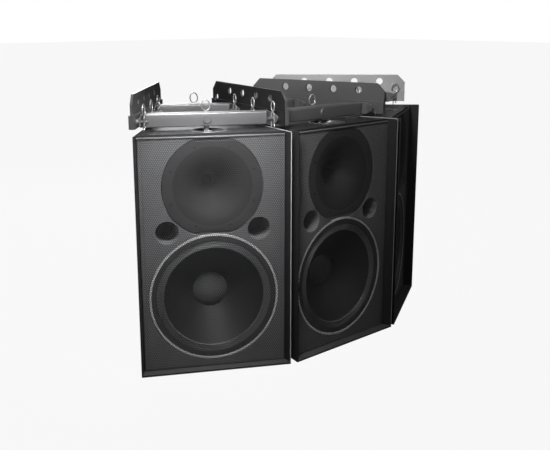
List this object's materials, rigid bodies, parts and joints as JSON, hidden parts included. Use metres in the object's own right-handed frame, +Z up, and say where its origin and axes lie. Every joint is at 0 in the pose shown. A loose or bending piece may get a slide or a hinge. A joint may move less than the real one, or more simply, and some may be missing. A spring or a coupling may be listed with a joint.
{
  "type": "loudspeaker cluster",
  "caption": "Splayed row of three black two-way loudspeaker cabinets under a pinned steel rigging frame with pull-out spring clips.",
  "frame": {"origin": "centre of the middle cabinet's bottom face", "axes": "+X across the row, to the right seen from the front; -Y is the middle cabinet's front; +Z up"},
  "size_m": [1.2994, 0.6539, 0.834],
  "materials": {
    "textured_paint": "textured black paint on plywood",
    "baffle_paint": "matte black paint on plywood",
    "grille_steel": "satin",
    "horn_moulding": "matte",
    "driver_metal": "satin",
    "basket_metal": "satin",
    "cone_paper": "matte",
    "socket_plastic": "matte",
    "zinc_steel": "satin",
    "frame_paint": "satin",
    "spring_wire": "polished"
  },
  "bodies": {
    "cluster": {"enclosure_left": "textured_paint", "baffle_left": "baffle_paint", "grille_left": "grille_steel", "horn_left": "horn_moulding", "compression_driver_left": "driver_metal", "woofer_frame_left": "basket_metal", "connector_plate_left": "socket_plastic", "pan_fitting_front_left": "zinc_steel", "cross_tube_front_left": "frame_paint", "pan_fitting_rear_left": "zinc_steel", "cross_tube_rear_left": "frame_paint", "enclosure_middle": "textured_paint", "baffle_middle": "baffle_paint", "grille_middle": "grille_steel", "horn_middle": "horn_moulding", "compression_driver_middle": "driver_metal", "woofer_frame_middle": "basket_metal", "connector_plate_middle": "socket_plastic", "pan_fitting_front_middle": "zinc_steel", "cross_tube_front_middle": "frame_paint", "pan_fitting_rear_middle": "zinc_steel", "cross_tube_rear_middle": "frame_paint", "enclosure_right": "textured_paint", "baffle_right": "baffle_paint", "grille_right": "grille_steel", "horn_right": "horn_moulding", "compression_driver_right": "driver_metal", "woofer_frame_right": "basket_metal", "connector_plate_right": "socket_plastic", "pan_fitting_front_right": "zinc_steel", "cross_tube_front_right": "frame_paint", "pan_fitting_rear_right": "zinc_steel", "cross_tube_rear_right": "frame_paint", "side_plate_1": "frame_paint", "side_plate_2": "frame_paint", "side_plate_3": "frame_paint", "side_plate_4": "frame_paint"},
    "cone_left": {"woofer_cone_left": "cone_paper"},
    "cone_middle": {"woofer_cone_middle": "cone_paper"},
    "cone_right": {"woofer_cone_right": "cone_paper"},
    "r_clip_mid_front_left": {"clip_mid_front_left": "spring_wire"},
    "r_clip_mid_rear_left": {"clip_mid_rear_left": "spring_wire"},
    "r_clip_mid_front_middle": {"clip_mid_front_middle": "spring_wire"},
    "r_clip_mid_rear_middle": {"clip_mid_rear_middle": "spring_wire"},
    "r_clip_mid_front_right": {"clip_mid_front_right": "spring_wire"},
    "r_clip_mid_rear_right": {"clip_mid_rear_right": "spring_wire"},
    "r_clip_end_front_1": {"clip_end_front_1": "spring_wire"},
    "r_clip_end_rear_1": {"clip_end_rear_1": "spring_wire"},
    "r_clip_end_centre_1": {"clip_end_centre_1": "spring_wire"},
    "r_clip_end_front_2": {"clip_end_front_2": "spring_wire"},
    "r_clip_end_rear_2": {"clip_end_rear_2": "spring_wire"},
    "r_clip_end_centre_2": {"clip_end_centre_2": "spring_wire"},
    "r_clip_end_front_3": {"clip_end_front_3": "spring_wire"},
    "r_clip_end_rear_3": {"clip_end_rear_3": "spring_wire"},
    "r_clip_end_centre_3": {"clip_end_centre_3": "spring_wire"},
    "r_clip_end_front_4": {"clip_end_front_4": "spring_wire"},
    "r_clip_end_rear_4": {"clip_end_rear_4": "spring_wire"},
    "r_clip_end_centre_4": {"clip_end_centre_4": "spring_wire"}
  },
  "joints": [
    {"name": "cone_stroke_left", "type": "slide", "parent": "cluster", "child": "cone_left", "axis": [-0.5, -0.866, 0], "range_m": [-0.005, 0.005]},
    {"name": "cone_stroke_middle", "type": "slide", "parent": "cluster", "child": "cone_middle", "axis": [0, -1, 0], "range_m": [-0.005, 0.005]},
    {"name": "cone_stroke_right", "type": "slide", "parent": "cluster", "child": "cone_right", "axis": [0.5, -0.866, 0], "range_m": [-0.005, 0.005]},
    {"name": "pull_mid_front_left", "type": "slide", "parent": "cluster", "child": "r_clip_mid_front_left", "axis": [0, 0, 1], "range_m": [0, 0.06]},
    {"name": "pull_mid_rear_left", "type": "slide", "parent": "cluster", "child": "r_clip_mid_rear_left", "axis": [0, 0, 1], "range_m": [0, 0.06]},
    {"name": "pull_mid_front_middle", "type": "slide", "parent": "cluster", "child": "r_clip_mid_front_middle", "axis": [0, 0, 1], "range_m": [0, 0.06]},
    {"name": "pull_mid_rear_middle", "type": "slide", "parent": "cluster", "child": "r_clip_mid_rear_middle", "axis": [0, 0, 1], "range_m": [0, 0.06]},
    {"name": "pull_mid_front_right", "type": "slide", "parent": "cluster", "child": "r_clip_mid_front_right", "axis": [0, 0, 1], "range_m": [0, 0.06]},
    {"name": "pull_mid_rear_right", "type": "slide", "parent": "cluster", "child": "r_clip_mid_rear_right", "axis": [0, 0, 1], "range_m": [0, 0.06]},
    {"name": "pull_end_front_1", "type": "slide", "parent": "cluster", "child": "r_clip_end_front_1", "axis": [0, 0, 1], "range_m": [0, 0.06]},
    {"name": "pull_end_rear_1", "type": "slide", "parent": "cluster", "child": "r_clip_end_rear_1", "axis": [0, 0, 1], "range_m": [0, 0.06]},
    {"name": "pull_end_centre_1", "type": "slide", "parent": "cluster", "child": "r_clip_end_centre_1", "axis": [0, 0, 1], "range_m": [0, 0.06]},
    {"name": "pull_end_front_2", "type": "slide", "parent": "cluster", "child": "r_clip_end_front_2", "axis": [0, 0, 1], "range_m": [0, 0.06]},
    {"name": "pull_end_rear_2", "type": "slide", "parent": "cluster", "child": "r_clip_end_rear_2", "axis": [0, 0, 1], "range_m": [0, 0.06]},
    {"name": "pull_end_centre_2", "type": "slide", "parent": "cluster", "child": "r_clip_end_centre_2", "axis": [0, 0, 1], "range_m": [0, 0.06]},
    {"name": "pull_end_front_3", "type": "slide", "parent": "cluster", "child": "r_clip_end_front_3", "axis": [0, 0, 1], "range_m": [0, 0.06]},
    {"name": "pull_end_rear_3", "type": "slide", "parent": "cluster", "child": "r_clip_end_rear_3", "axis": [0, 0, 1], "range_m": [0, 0.06]},
    {"name": "pull_end_centre_3", "type": "slide", "parent": "cluster", "child": "r_clip_end_centre_3", "axis": [0, 0, 1], "range_m": [0, 0.06]},
    {"name": "pull_end_front_4", "type": "slide", "parent": "cluster", "child": "r_clip_end_front_4", "axis": [0, 0, 1], "range_m": [0, 0.06]},
    {"name": "pull_end_rear_4", "type": "slide", "parent": "cluster", "child": "r_clip_end_rear_4", "axis": [0, 0, 1], "range_m": [0, 0.06]},
    {"name": "pull_end_centre_4", "type": "slide", "parent": "cluster", "child": "r_clip_end_centre_4", "axis": [0, 0, 1], "range_m": [0, 0.06]}
  ]
}
